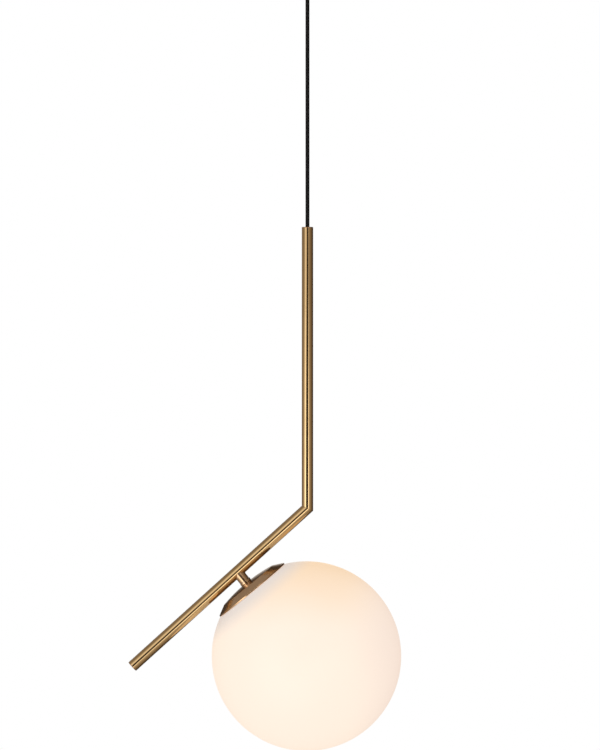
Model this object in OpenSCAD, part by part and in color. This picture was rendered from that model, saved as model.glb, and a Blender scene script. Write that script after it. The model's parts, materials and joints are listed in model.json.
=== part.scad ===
// Pendant ceiling light: a ceiling fitting, a round flex, a bent brass rod and an opal glass globe.
// The origin is the centre of the face that lies on the ceiling. +Z is up and the lamp hangs below.
// Along the arm and along the head, pieces are drawn in a frame of their own whose +Z runs outwards.

/* [Ceiling fitting] */
// Outside diameter of the canopy
canopy_d = 100; // [80:1:140]
// Depth of the canopy from the ceiling to its underside
canopy_h = 28; // [26:1:50]
// Sheet thickness of the canopy
canopy_wall = 1; // [0.8:0.1:1.5]
// Radius of the canopy's lower edge
canopy_round = 5; // [2:0.5:8]
// Width of the ceiling bracket
bracket_w = 16; // [12:1:24]
// Sheet thickness of the ceiling bracket
bracket_t = 1.5; // [1:0.1:2.5]
// Distance between the middles of the two fixing slots
slot_spacing = 54; // [48:1:64]
// Length of a fixing slot, end to end
slot_length = 14; // [10:1:16]
// Width of a fixing slot
slot_w = 5.2; // [4.2:0.1:6.2]
// Diameter of the hole for the supply cable
entry_d = 10; // [8:0.5:12]
// Length of the cord grip below the canopy
grip_len = 24; // [21:1:40]
// Outside diameter of the cord grip
grip_d = 14; // [13:0.5:20]

/* [Flex] */
// Diameter of the round flex
flex_d = 4.2; // [3.5:0.1:5.5]
// Diameter of one insulated core of the flex
core_d = 1.6; // [1.2:0.1:1.8]
// Free length of flex between the cord grip and the stem
drop = 246; // [150:1:1500]

/* [Rod] */
// Diameter of the brass tube
rod_d = 12; // [11.5:0.1:20]
// Wall of the brass tube
rod_wall = 1; // [0.7:0.1:1.5]
// Length of the upright stem, from its top to the bend
stem_len = 297; // [150:1:500]
// Length of the sloping arm, from the bend to its end
arm_len = 250; // [150:1:400]
// Slope of the arm below level, in degrees
arm_angle = 42.1; // [20:0.1:60]
// Distance from the bend to the post that carries the globe
post_at = 100; // [60:1:140]

/* [Globe head] */
// Diameter of the post under the arm
post_d = 11.6; // [11.4:0.1:11.8]
// Distance from the middle of the arm to the top of the globe cap
post_len = 15.1; // [13:0.1:40]
// Lean of the post away from square to the arm, in degrees
head_lean = 2.7; // [0:0.1:8]
// Height of the loose ring at the foot of the post
collar_h = 2.8; // [1.5:0.1:4]
// Diameter of the globe cap at its rim
cap_d = 88; // [80:1:110]
// Diameter of the domed middle of the globe cap
cap_face_d = 66; // [62:0.5:72]
// Rise of the domed middle of the globe cap
cap_dome_h = 3.2; // [2:0.1:5]
// Height of the sloping edge of the globe cap, with its rim
cap_bevel_h = 7.1; // [5:0.1:9]
// Thickness of the globe cap at its rim
cap_rim_t = 1.4; // [0.5:0.1:2.5]
// Diameter of the glass globe
globe_d = 200; // [160:1:260]
// Wall of the glass globe
glass_t = 3; // [2:0.5:4]
// Outside diameter of the globe's screw neck
neck_d = 59; // [58:0.5:60]
// Pitch of the globe's screw neck
neck_pitch = 3; // [2:0.5:4]

/* [Lampholder and bulb] */
// Diameter of the hollow threaded tube through post, cap and lampholder
nipple_d = 10; // [9.5:0.1:10.2]
// Bore of the hollow threaded tube
nipple_bore = 7; // [6:0.5:7.5]
// Outside diameter of the lampholder
holder_d = 27; // [26.5:0.5:32]
// Outside diameter of the bulb's screw cap
lamp_cap_d = 13.9; // [13.7:0.1:14]
// Diameter of the bulb's round envelope
bulb_d = 45; // [40:1:50]

/* [Hidden] */
$fn = 96;
eps = 0.01;

// Clearances
fit_gap = 0.1;      // between pieces that are fixed together
loose_gap = 0.3;    // between pieces that move past each other
cut_over = 1;       // how far a cut runs past a face

// Ceiling fitting
canopy_in_r = canopy_d / 2 - canopy_wall;
bracket_half = sqrt(pow(canopy_in_r, 2) - pow(bracket_w / 2, 2)) - loose_gap;
ear_h = 15;
side_screw_z = -8.5;
screw4_d = 4;
screw3_d = 3;
block_size = [30, 17, 9];
block_y = bracket_w / 2 + 2.5 + block_size[1] / 2;
tongue_w = block_size[0] + 4;
tongue_end = block_y + block_size[1] / 2 + 1.5;
pole_gap = 10;
screw_row = 4.5;
tower_h = 3.5;
tower_d = 6;
insert_d = 5;
insert_bore = 3.4;
insert_z = -bracket_t - block_size[2] / 2;
tube_mouth_y = block_y - block_size[1] / 2 + 1;
core_in_tube_z = insert_z + insert_bore / 2 - core_d / 2 - fit_gap;
earth_x = 12.5;
floor_z = -canopy_h;
grip_thread_d = 10;
grip_flange_h = 2.5;
grip_thread_h = 10;
grip_bore = flex_d + 0.6;
grip_top = floor_z + grip_thread_h;
grip_foot = floor_z - grip_len;
washer_h = 0.8;
nut_h = 3;
nut_flats = 14;
tail_end = grip_top + 1.5;

// Flex: the two bends at the top stand in for one supple cord
flex_r = flex_d / 2;
bend_1_z = grip_foot + 1.5;
bend_gap = 25;
bend_2_z = bend_1_z - bend_gap;
stem_top = grip_foot - drop;
plug_in = 4;
turn_gap = 0.3;
// Places along the first bend of the hanging flex, as shares of its length
link_shares = [0, 0.3, 0.7, 1];
// Places along the rest of the hanging flex, as shares of the way to the stem
hang_shares = [0, 0.04, 0.08, 0.12, 0.16, 0.20, 0.24, 0.28, 0.32, 0.36, 0.40, 0.44, 0.48,
    0.52, 0.56, 0.60, 0.64, 0.68, 0.72, 0.76, 0.80, 0.84, 0.88, 0.92, 0.96, 1];
// Places along the flex in the stem, as shares of the way from the top to the bend
stem_shares = [0, 0.05, 0.1, 0.15, 0.2, 0.25, 0.3, 0.35, 0.4, 0.45, 0.5, 0.55, 0.6,
    0.65, 0.7, 0.75, 0.8, 0.85, 0.9, 0.95, 1];
// Places along the flex in the arm, as shares of the way from the bend to the end of the sheath
arm_shares = [0, 0.1, 0.2, 0.3, 0.4, 0.5, 0.6, 0.7, 0.8, 0.9, 1];

// Rod
rod_bore = rod_d - 2 * rod_wall;
bend_z = stem_top - stem_len;
bend_point = [0, 0, bend_z];
arm_dir = [-cos(arm_angle), 0, -sin(arm_angle)];
mitre_angle = (90 + arm_angle) / 2;
lip_h = 1.2;
edge_cut = 0.4;
spigot_h = 10;
anchor_d = 8;
anchor_h = 12;
plug_h = 6;
inner_bend_r = 20;

// Globe head, as distances from the middle of the arm along the head
head_angle = 90 - arm_angle + head_lean;
head_root = bend_point + post_at * arm_dir;
head_dir = [cos(head_angle), 0, -sin(head_angle)];
rim_h = post_len + cap_dome_h + cap_bevel_h;
shoulder_gap = 0.4;
globe_r = globe_d / 2;
globe_h = rim_h + sqrt(pow(globe_r, 2) - pow(cap_d / 2, 2));
shoulder_h = rim_h + shoulder_gap;
dome_r = (pow(cap_face_d / 2, 2) + pow(cap_dome_h, 2)) / (2 * cap_dome_h);
recess_d = neck_d + 2 * loose_gap;
recess_h = post_len + cap_dome_h + 0.7;
gasket_t = 1.3;
neck_top = recess_h + gasket_t + 2 * fit_gap;
neck_wall = 3.5;
wire_hole_d = 8;
collar_gap = 0.2;
nipple_start = max(post_len - 8, rod_d / 2 + 0.6);

// Lampholder and bulb, stacked along the head from the recess of the cap
star_h = 0.8;
nut_top = recess_h + star_h;
holder_h = nut_top + nut_h;
nipple_end = holder_h + 4.1;
holder_cap_h = 13.5;
holder_split = holder_h + holder_cap_h;
holder_end = holder_split + 28;
core_start = holder_split + 1;
core_end = core_start + 10;
shell_end = holder_end - 1.5;
contact_h = holder_end - 19;
lamp_pitch = 2.82;
lamp_cap_start = contact_h + 4;
lamp_cap_end = holder_end + 1;
housing_end = lamp_cap_end + 18;
housing_r = 14;
bulb_r = bulb_d / 2;
bulb_wall = 1;
bulb_h = housing_end + sqrt(pow(bulb_r, 2) - pow(housing_r, 2));
plunger_r = 2.4;
plunger_h = 3;
spring_r = 2;
spring_wire = 0.4;
spring_turns = 3;
clamp_y = 6.5;
clamp_h = 4;
core_ring = 0.95;

// Colours
brass = "#b08a4e";
bright_brass = "#c9a55c";
steel = "#b9bcc0";
black_rubber = "#1b1b1d";
white_nylon = "#e8e6e0";
opal = "#fff1d8";
live_brown = "#6b3f22";
neutral_blue = "#2f5fa8";
earth_green = "#7fae2e";

function unit(v) = v / norm(v);
function route_dir(route, i) = unit(route[min(i + 1, len(route) - 1)] - route[max(i - 1, 0)]);

// A tube swept along a route, with a radius at each point. The side vector is never along the route.
module swept(route, radii, sides, side) {
    n = len(route);
    rings = [for (i = [0:n - 1])
        let (t = route_dir(route, i), u = unit(cross(side, t)), v = cross(t, u))
        for (k = [0:sides - 1]) let (a = 360 * k / sides) route[i] + radii[i] * (u * cos(a) + v * sin(a))];
    walls = [for (i = [0:n - 2]) for (k = [0:sides - 1]) let (j = (k + 1) % sides)
        [i * sides + k, (i + 1) * sides + k, (i + 1) * sides + j, i * sides + j]];
    first = [for (k = [0:sides - 1]) k];
    last = [for (k = [sides - 1:-1:0]) (n - 1) * sides + k];
    polyhedron(points = rings, faces = concat(walls, [first, last]));
}

module tube(route, d, sides = 12, side = [0, 1, 0]) {
    swept(route, [for (p = route) d / 2], sides, side);
}

// An upright flex from its top to its foot, with a round end centred on the point it turns about.
module hanging_flex(top, foot, shares) {
    dome = [for (a = [80, 55, 30]) [top + flex_r * sin(a), flex_r * cos(a)]];
    body = [for (s = shares) [top + s * (foot - top), flex_r]];
    steps = concat(dome, body);
    swept([for (p = steps) [0, 0, p[0]]], [for (p = steps) p[1]], 12, [0, 1, 0]);
}

// Ring, disc or bushing between two heights.
module ring(r_out, r_in, from, to) {
    rotate_extrude() translate([r_in, from]) square([r_out - r_in, to - from]);
}

module hex_nut(flats, bore, h) {
    difference() {
        cylinder(d = flats / cos(30), h = h, $fn = 6);
        translate([0, 0, -cut_over]) cylinder(d = bore, h = h + 2 * cut_over);
    }
}

// A screw along +Z from the underside of its head, with a domed head above and a cross slot.
module pan_screw(d, len, head_d, head_h) {
    difference() {
        union() {
            translate([0, 0, -len]) cylinder(d = d, h = len);
            cylinder(d1 = head_d, d2 = head_d * 0.72, h = head_h);
        }
        for (a = [0, 90]) rotate([0, 0, a])
            translate([-head_d * 0.3, -d * 0.1, head_h * 0.45]) cube([head_d * 0.6, d * 0.2, head_h]);
    }
}

module slot_hole(len, w, h) {
    span = len - w;
    translate([-span / 2, -w / 2, 0]) cube([span, w, h]);
    for (s = [-1, 1]) translate([s * span / 2, 0, 0]) cylinder(d = w, h = h);
}

// Frame whose +Z runs down the arm from the bend.
module arm_frame() {
    translate(bend_point) rotate([0, -(90 + arm_angle), 0]) children();
}

// Frame whose +Z runs from the middle of the arm to the middle of the globe.
module head_frame() {
    translate(head_root) rotate([0, 90 + head_angle, 0]) children();
}

// Everything on the arm's side of the bend.
module mitre_side() {
    big = 4 * rod_d;
    translate(bend_point) rotate([0, -(90 + mitre_angle), 0])
        translate([-big / 2, -big / 2, 0]) cube(big);
}

// ---- Ceiling fitting ----

module ceiling_bracket() {
    color(steel) difference() {
        union() {
            translate([-bracket_half, -bracket_w / 2, -bracket_t])
                cube([2 * bracket_half, bracket_w, bracket_t]);
            for (x = [-bracket_half, bracket_half - bracket_t])
                translate([x, -bracket_w / 2, -ear_h]) cube([bracket_t, bracket_w, ear_h]);
            translate([-tongue_w / 2, 0, -bracket_t]) cube([tongue_w, tongue_end, bracket_t]);
        }
        translate([0, 0, -bracket_t - cut_over]) cylinder(d = entry_d, h = bracket_t + 2 * cut_over);
        for (s = [-1, 1]) translate([s * slot_spacing / 2, 0, -bracket_t - cut_over])
            slot_hole(slot_length, slot_w, bracket_t + 2 * cut_over);
        translate([-bracket_half - cut_over, 0, side_screw_z]) rotate([0, 90, 0])
            cylinder(d = screw4_d + 2 * fit_gap, h = 2 * bracket_half + 2 * cut_over);
        translate([-earth_x, 0, -bracket_t - cut_over])
            cylinder(d = screw4_d + 2 * fit_gap, h = bracket_t + 2 * cut_over);
        for (s = [-1, 1]) translate([s * pole_gap / 2, block_y, -bracket_t - cut_over])
            cylinder(d = screw3_d + 2 * fit_gap, h = bracket_t + 2 * cut_over);
    }
}

// Half section of a cup, open at the top, with a rounded lower edge.
module cup_section(r, h, round_r) {
    square([r - round_r, h]);
    translate([0, round_r]) square([r, h - round_r]);
    translate([r - round_r, round_r]) circle(r = round_r);
}

module canopy() {
    color(brass) translate([0, 0, floor_z]) difference() {
        rotate_extrude() difference() {
            intersection() {
                cup_section(canopy_d / 2, canopy_h, canopy_round);
                square([canopy_d, canopy_h]);
            }
            translate([0, canopy_wall])
                cup_section(canopy_in_r, canopy_h, canopy_round - canopy_wall);
        }
        translate([0, 0, -cut_over]) cylinder(d = grip_thread_d + 2 * fit_gap, h = canopy_wall + 2 * cut_over);
        translate([-canopy_d, 0, canopy_h + side_screw_z]) rotate([0, 90, 0])
            cylinder(d = screw4_d + 2 * loose_gap, h = 2 * canopy_d);
    }
}

module canopy_screws() {
    color(bright_brass) for (s = [0, 180]) rotate([0, 0, s])
        translate([canopy_d / 2, 0, side_screw_z]) rotate([0, 90, 0]) difference() {
            union() {
                translate([0, 0, -7]) cylinder(d = screw4_d, h = 7);
                cylinder(d = 8, h = 2.2);
                translate([0, 0, 2.2]) cylinder(d1 = 8, d2 = 6.6, h = 0.6);
            }
            translate([-cut_over * 5, -0.5, 1.8]) cube([cut_over * 10, 1, 2]);
        }
}

module terminal_block() {
    top = -bracket_t;
    color(white_nylon) difference() {
        union() {
            translate([-block_size[0] / 2, block_y - block_size[1] / 2, top - block_size[2]])
                cube(block_size);
            for (x = [-pole_gap, 0, pole_gap]) for (y = [-screw_row, screw_row])
                translate([x, block_y + y, top - block_size[2] - tower_h]) cylinder(d = tower_d, h = tower_h);
        }
        for (x = [-pole_gap, 0, pole_gap]) {
            translate([x, block_y + block_size[1], insert_z]) rotate([90, 0, 0])
                cylinder(d = insert_d + 2 * fit_gap, h = 2 * block_size[1]);
            for (y = [-screw_row, screw_row])
                translate([x, block_y + y, top - block_size[2] - tower_h - cut_over])
                    cylinder(d = screw3_d + 2 * loose_gap, h = tower_h + cut_over + block_size[2] / 2);
        }
        for (s = [-1, 1]) translate([s * pole_gap / 2, block_y, top - block_size[2] - cut_over])
            cylinder(d = screw3_d + 2 * fit_gap, h = block_size[2] + 2 * cut_over);
    }
}

module terminal_tubes() {
    color(bright_brass) for (x = [-pole_gap, 0, pole_gap]) difference() {
        translate([x, block_y + block_size[1] / 2 - 1, insert_z]) rotate([90, 0, 0])
            cylinder(d = insert_d, h = block_size[1] - 2);
        translate([x, block_y + block_size[1], insert_z]) rotate([90, 0, 0])
            cylinder(d = insert_bore, h = 2 * block_size[1]);
        for (y = [-screw_row, screw_row]) translate([x, block_y + y, insert_z - insert_d])
            cylinder(d = screw3_d + 2 * fit_gap, h = insert_d);
    }
}

module terminal_screws() {
    grub = 5;
    tip_z = core_in_tube_z - core_d / 2 - fit_gap;
    color(steel) for (x = [-pole_gap, 0, pole_gap]) for (y = [-screw_row, screw_row])
        translate([x, block_y + y, tip_z - grub]) difference() {
            cylinder(d = screw3_d, h = grub);
            translate([-screw3_d, -0.3, -cut_over]) cube([2 * screw3_d, 0.6, cut_over + 0.8]);
        }
}

module block_screws() {
    color(steel) for (s = [-1, 1]) translate([s * pole_gap / 2, block_y, -bracket_t - block_size[2]])
        mirror([0, 0, 1]) pan_screw(screw3_d, block_size[2] + bracket_t, 4, 1.4);
}

module earth_screw() {
    color(bright_brass) translate([-earth_x, 0, -bracket_t - washer_h]) mirror([0, 0, 1])
        pan_screw(screw4_d, bracket_t + washer_h, 7, 2);
}

// Ring tag under the earth screw, with its short link to the terminal block.
module earth_link() {
    tag_r = 3.6;
    link_d = 1;
    tag_z = -bracket_t - washer_h / 2;
    link_x = -pole_gap - insert_bore / 2 + link_d / 2 + fit_gap;
    route = [[-earth_x, tag_r, tag_z], [-0.9 * earth_x + 0.1 * link_x, tag_r + 1.8, tag_z - 0.5],
        [-0.4 * earth_x + 0.6 * link_x, tube_mouth_y - 3, 0.5 * (tag_z + insert_z)],
        [link_x, tube_mouth_y - 1, insert_z - 0.1], [link_x, tube_mouth_y + 1, insert_z - 0.3]];
    color(earth_green) tube(route, link_d, 8, [1, 0, 0]);
    color(steel) translate([-earth_x, 0, -bracket_t - washer_h])
        ring(tag_r, screw4_d / 2 + fit_gap, 0.05, washer_h - 0.05);
}

// A core of the flex from the end of its sheath to a pole of the terminal block.
module supply_core(x, y, pole_x) {
    start = [x, y, tail_end];
    rise = core_in_tube_z - tail_end;
    bend = [for (p = [[0, 0, 0.12], [0.1, 0.08, 0.3], [0.35, 0.22, 0.5], [0.7, 0.42, 0.72], [0.93, 0.62, 0.9],
        [1, 0.8, 1], [1, 1, 1]])
        [x + p[0] * (pole_x - x), y + p[1] * (tube_mouth_y + 3 - y), tail_end + p[2] * rise]];
    tube(concat([start], bend), core_d, 8, [0, 1, -1]);
}

module supply_live_core() {
    color(live_brown) supply_core(core_ring * cos(330), core_ring * sin(330), pole_gap);
}

module supply_neutral_core() {
    color(neutral_blue) supply_core(0, core_ring, 0);
}

module supply_earth_core() {
    color(earth_green) supply_core(core_ring * cos(210), core_ring * sin(210), -pole_gap);
}

module flex_tail() {
    foot = bend_1_z + flex_r + turn_gap;
    color(black_rubber) tube([for (s = [0:0.2:1]) [0, 0, tail_end + s * (foot - tail_end)]], flex_d);
}

module grip_washer() {
    seat = floor_z + canopy_wall;
    color(steel) ring(8, grip_thread_d / 2 + fit_gap, seat, seat + washer_h);
}

module grip_nut() {
    color(bright_brass) translate([0, 0, floor_z + canopy_wall + washer_h])
        hex_nut(nut_flats, grip_thread_d + 2 * fit_gap, nut_h);
}

module grip_body() {
    flange_z = floor_z - grip_flange_h;
    thread_foot = flange_z - 6;
    color(brass) difference() {
        union() {
            translate([0, 0, thread_foot]) cylinder(d = grip_thread_d, h = grip_top - thread_foot);
            translate([0, 0, flange_z]) cylinder(d = grip_d + 2, h = grip_flange_h);
        }
        translate([0, 0, thread_foot - cut_over])
            cylinder(d = grip_bore, h = grip_top - thread_foot + 2 * cut_over);
        translate([0, 0, thread_foot - eps]) cylinder(d1 = flex_d + 3.8, d2 = grip_bore, h = 3);
    }
}

module grip_collet() {
    top = floor_z - grip_flange_h - 3.8;
    grip_r = flex_r + fit_gap;
    color(white_nylon) rotate_extrude() polygon([[grip_r, top], [flex_r + 0.7, top], [flex_r + 1.6, top - 2],
        [flex_r + 1.6, top - 6], [flex_r + 0.8, top - 8], [grip_r, top - 8]]);
}

module grip_cap() {
    top = floor_z - grip_flange_h;
    seat = top - 9;
    collet_r = flex_r + 1.6 + fit_gap;
    color(brass) difference() {
        rotate_extrude() polygon([[0, top], [grip_d / 2, top], [grip_d / 2, top - 8],
            [4.6, grip_foot + 0.4], [4.2, grip_foot], [0, grip_foot]]);
        translate([0, 0, top - 6.5]) cylinder(d = grip_thread_d + 2 * fit_gap, h = 6.5 + cut_over);
        translate([0, 0, seat - 3.3]) cylinder(r = collet_r, h = 3.3 + 3);
        translate([0, 0, bend_1_z]) cylinder(d = grip_bore, h = top - bend_1_z);
        translate([0, 0, grip_foot - eps])
            cylinder(d1 = flex_d + 3, d2 = grip_bore, h = bend_1_z - grip_foot + eps);
    }
}

// ---- Flex between the ceiling fitting and the stem ----

module flex_top() {
    color(black_rubber) hanging_flex(bend_1_z, bend_2_z + flex_r + turn_gap, link_shares);
}

module flex_drop() {
    color(black_rubber) hanging_flex(bend_2_z, stem_top - plug_in, hang_shares);
}

// ---- Rod ----

module stem_cap() {
    color(brass) difference() {
        union() {
            translate([0, 0, stem_top]) mirror([0, 0, 1]) {
                cylinder(d1 = rod_d - 2 * edge_cut, d2 = rod_d, h = edge_cut);
                translate([0, 0, edge_cut]) cylinder(d = rod_d, h = lip_h - edge_cut);
                translate([0, 0, lip_h]) cylinder(d = rod_bore, h = spigot_h);
            }
        }
        translate([0, 0, stem_top - lip_h - spigot_h - cut_over])
            cylinder(d = flex_d + 2 * loose_gap, h = lip_h + spigot_h + 2 * cut_over);
    }
}

// Crimped sleeve that carries the lamp's weight on the flex, under the stem's top piece.
module flex_anchor() {
    top = stem_top - lip_h - spigot_h;
    color(steel) ring(anchor_d / 2, flex_r + fit_gap, top - anchor_h, top);
}

module stem() {
    color(brass) difference() {
        translate([0, 0, bend_z - rod_d]) cylinder(d = rod_d, h = stem_len + rod_d - lip_h);
        translate([0, 0, bend_z - rod_d - cut_over])
            cylinder(d = rod_bore, h = stem_len + rod_d + 2 * cut_over);
        mitre_side();
    }
}

module arm() {
    color(brass) difference() {
        intersection() {
            arm_frame() difference() {
                translate([0, 0, -rod_d]) cylinder(d = rod_d, h = arm_len + rod_d - lip_h);
                translate([0, 0, -rod_d - cut_over])
                    cylinder(d = rod_bore, h = arm_len + rod_d + 2 * cut_over);
            }
            union() {
                mitre_side();
                arm_frame() translate([-rod_d, -rod_d, rod_d]) cube([2 * rod_d, 2 * rod_d, arm_len]);
            }
        }
        head_frame() cylinder(d = wire_hole_d, h = rod_d);
    }
}

module arm_end_plug() {
    color(brass) arm_frame() translate([0, 0, arm_len]) mirror([0, 0, 1]) {
        cylinder(d1 = rod_d - 2 * edge_cut, d2 = rod_d, h = edge_cut);
        translate([0, 0, edge_cut]) cylinder(d = rod_d, h = lip_h - edge_cut);
        translate([0, 0, lip_h]) cylinder(d = rod_bore, h = plug_h);
    }
}

module post() {
    color(brass) difference() {
        head_frame() difference() {
            cylinder(d = post_d, h = post_len - collar_h - collar_gap);
            translate([0, 0, -cut_over]) cylinder(d = wire_hole_d, h = post_len);
            translate([0, 0, nipple_start]) cylinder(d = nipple_d, h = post_len);
        }
        arm_frame() translate([0, 0, post_at - 3 * rod_d]) cylinder(d = rod_d, h = 6 * rod_d);
    }
}

module post_collar() {
    color(brass) head_frame() ring(post_d / 2 + 0.4, nipple_d / 2 + fit_gap, post_len - collar_h, post_len);
}

// ---- Wiring inside the rod ----

function stem_point(s, top) = [0, 0, top + s * (bend_z + inner_bend_run - top)];
function arm_point(s) = bend_point + (inner_bend_run + s * (sheath_end - inner_bend_run)) * arm_dir;
inner_bend_run = inner_bend_r * tan((90 - arm_angle) / 2);
sheath_end = post_at - 22;
arc_centre = [-inner_bend_r, 0, bend_z + inner_bend_run];

module inner_flex() {
    top = stem_top - plug_in - turn_gap;
    steps = 6;
    curve = [for (i = [1:steps - 1]) let (a = (90 - arm_angle) * i / steps)
        arc_centre + inner_bend_r * [cos(a), 0, -sin(a)]];
    color(black_rubber) tube(concat([for (s = stem_shares) stem_point(s, top)], curve,
        [for (s = arm_shares) arm_point(s)]), flex_d);
}

// Square to the arm and to the head, both towards the inside of the turn between them.
arm_side = unit(head_dir - (head_dir * arm_dir) * arm_dir);
head_side = unit(-arm_dir + (arm_dir * head_dir) * head_dir);
turn_angle = acos(head_dir * arm_dir);
turn_r = 5;
turn_run = turn_r * tan(turn_angle / 2);

// A core from the end of the sheath, round into the head, through the nipple and out to its terminal.
module head_core(inward, aside, end_in, end_aside) {
    y = [0, aside, 0];
    centre = head_root - turn_run * arm_dir + turn_r * arm_side;
    along = [for (s = [0, 0.35, 0.7, 1])
        head_root - ((post_at - sheath_end) * (1 - s) + turn_run * s) * arm_dir + inward * arm_side + y];
    turn = [for (i = [1:5]) let (a = turn_angle * i / 6)
        centre + (turn_r - inward) * (sin(a) * arm_dir - cos(a) * arm_side) + y];
    down = [for (s = [0, 0.25, 0.5, 0.75, 1])
        head_root + (turn_run + s * (nipple_end - turn_run)) * head_dir + inward * head_side + y];
    fan_end = core_start - clamp_h - fit_gap;
    fan = [for (s = [0.2, 0.4, 0.6, 0.8, 1, 1.2])
        let (h = nipple_end + s * (fan_end - nipple_end) / 1.2, t = min(s, 1), w = t * t * (3 - 2 * t))
        head_root + h * head_dir + (inward + (end_in - inward) * w) * head_side
        + [0, aside + (end_aside - aside) * w, 0]];
    tube(concat(along, turn, down, fan), core_d, 8, [0, 1, 0]);
}

module live_core() {
    color(live_brown) head_core(core_ring * cos(330), core_ring * sin(330), 0, -clamp_y);
}

module neutral_core() {
    color(neutral_blue) head_core(0, core_ring, 0, clamp_y);
}

module earth_core() {
    color(earth_green) head_core(core_ring * cos(210), core_ring * sin(210), -clamp_y, 0);
}

// ---- Globe head ----

module nipple() {
    color(steel) head_frame() ring(nipple_d / 2, nipple_bore / 2, nipple_start, nipple_end);
}

module globe_cap() {
    color(brass) head_frame() difference() {
        rotate_extrude() union() {
            intersection() {
                translate([0, post_len + dome_r]) circle(r = dome_r, $fn = 360);
                translate([0, post_len]) square([cap_face_d / 2, cap_dome_h]);
            }
            translate([0, post_len]) square([post_d / 2 + 0.6, 1]);
            polygon([[0, post_len + cap_dome_h - eps], [cap_face_d / 2, post_len + cap_dome_h - eps],
                [cap_d / 2, rim_h - cap_rim_t], [cap_d / 2, rim_h], [0, rim_h]]);
        }
        translate([0, 0, recess_h]) cylinder(d = recess_d, h = rim_h);
        translate([0, 0, post_len - cut_over]) cylinder(d = nipple_d + 2 * fit_gap, h = rim_h);
    }
}

module cap_washer() {
    color(steel) head_frame() ring(nut_flats / 2 + 1.5, nipple_d / 2 + fit_gap, recess_h, nut_top);
}

module cap_nut() {
    color(steel) head_frame() translate([0, 0, nut_top]) hex_nut(nut_flats, nipple_d + 2 * fit_gap, nut_h);
}

module globe_gasket() {
    color("#dcdcd6") head_frame() ring(neck_d / 2, neck_d / 2 - neck_wall,
        recess_h + fit_gap, recess_h + fit_gap + gasket_t);
}

module globe() {
    mouth_r = neck_d / 2 - neck_wall;
    color(opal) head_frame() rotate_extrude() difference() {
        union() {
            intersection() {
                translate([0, globe_h]) circle(r = globe_r, $fn = 180);
                translate([0, shoulder_h]) square([globe_r, 2 * globe_r]);
            }
            translate([0, neck_top]) square([neck_d / 2, shoulder_h - neck_top + glass_t / 2]);
        }
        intersection() {
            translate([0, globe_h]) circle(r = globe_r - glass_t, $fn = 180);
            translate([0, shoulder_h + glass_t]) square([globe_r, 2 * globe_r]);
        }
        translate([0, neck_top - cut_over]) square([mouth_r, glass_t + shoulder_h - neck_top + 2 * cut_over]);
    }
}

// ---- Lampholder ----

module holder_cap() {
    r = holder_d / 2 - 0.5;
    wall = 1.2;
    spigot_r = holder_d / 2 - 1.7;
    color(steel) head_frame() rotate_extrude() polygon([[nipple_d / 2 + fit_gap, holder_h], [7.5, holder_h],
        [7.5, holder_h + 2.5], [r - 1, holder_h + 5], [r, holder_h + 6.2], [r, holder_split],
        [spigot_r, holder_split], [spigot_r, holder_h + 6.5], [spigot_r - 0.6, holder_h + 6],
        [7, holder_h + 2.5 + wall], [7, holder_h + 4.5], [nipple_d / 2 + fit_gap, holder_h + 4.5]]);
}

module holder_body() {
    r = holder_d / 2;
    inner_r = r - 2.2;
    spigot_r = r - 1.8;
    throat_r = lamp_cap_d / 2 + loose_gap + 0.8;
    color(white_nylon) head_frame() difference() {
        rotate_extrude() polygon([[inner_r, holder_split - 3.5], [spigot_r, holder_split - 3.5],
            [spigot_r, holder_split], [r - 0.5, holder_split], [r, holder_split + 0.5], [r, holder_end - 1],
            [r - 1, holder_end], [throat_r, holder_end], [throat_r, shell_end + fit_gap],
            [inner_r, shell_end + fit_gap]]);
        for (a = [0:15:345]) rotate([0, 0, a])
            translate([r + 0.5, 0, holder_split + 3]) cylinder(d = 1.8, h = 16, $fn = 24);
    }
}

// Ceramic disc with a socket for the bulb's foot and a bore for the sprung contact.
module holder_core() {
    color("#f3efe6") head_frame() difference() {
        translate([0, 0, core_start]) cylinder(r = holder_d / 2 - 2.3, h = core_end - core_start);
        translate([0, 0, contact_h - 1]) cylinder(r = lamp_cap_d / 2 + loose_gap, h = core_end);
        translate([0, 0, spring_foot]) cylinder(r = plunger_r + loose_gap, h = core_end);
    }
}
plunger_back = contact_h - fit_gap - plunger_h;
spring_foot = plunger_back - 3.4;

module holder_shell() {
    r = lamp_cap_d / 2 + loose_gap;
    color(bright_brass) head_frame() {
        ring(r + 0.4, r, core_end, shell_end);
        ring(r + 1.8, r + 0.4, core_end, core_end + 0.6);
    }
}

// Places of the three terminals round the head: live, neutral and earth.
clamp_spots = [[0, -clamp_y], [0, clamp_y], [clamp_y, 0]];

module holder_clamps() {
    color(bright_brass) head_frame() for (p = clamp_spots) translate([p[0], p[1], core_start - clamp_h])
        rotate([0, 0, p[0] == 0 ? 0 : 90]) difference() {
            translate([-2.5, -2, 0]) cube([5, 4, clamp_h]);
            translate([0, 0, clamp_h / 2]) rotate([0, 90, 0]) cylinder(d = 2 + 2 * fit_gap, h = 4);
        }
}

module holder_screws() {
    color(steel) head_frame() for (p = clamp_spots) translate([p[0], p[1], core_start - clamp_h / 2])
        rotate([0, 0, p[0] == 0 ? 0 : 90]) translate([2.5, 0, 0]) rotate([0, 90, 0])
            pan_screw(2, 2.3, 3.4, 1.1);
}

module contact_spring() {
    steps = 16;
    span = plunger_back - spring_foot - 2 * fit_gap - spring_wire;
    first = spring_foot + fit_gap + spring_wire / 2;
    turns = [for (i = [0:spring_turns * steps]) let (a = 360 * i / steps)
        [spring_r * cos(a), spring_r * sin(a), first + span * i / (spring_turns * steps)]];
    color(steel) head_frame() tube(turns, spring_wire, 6, [0, 0, 1]);
}

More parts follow.
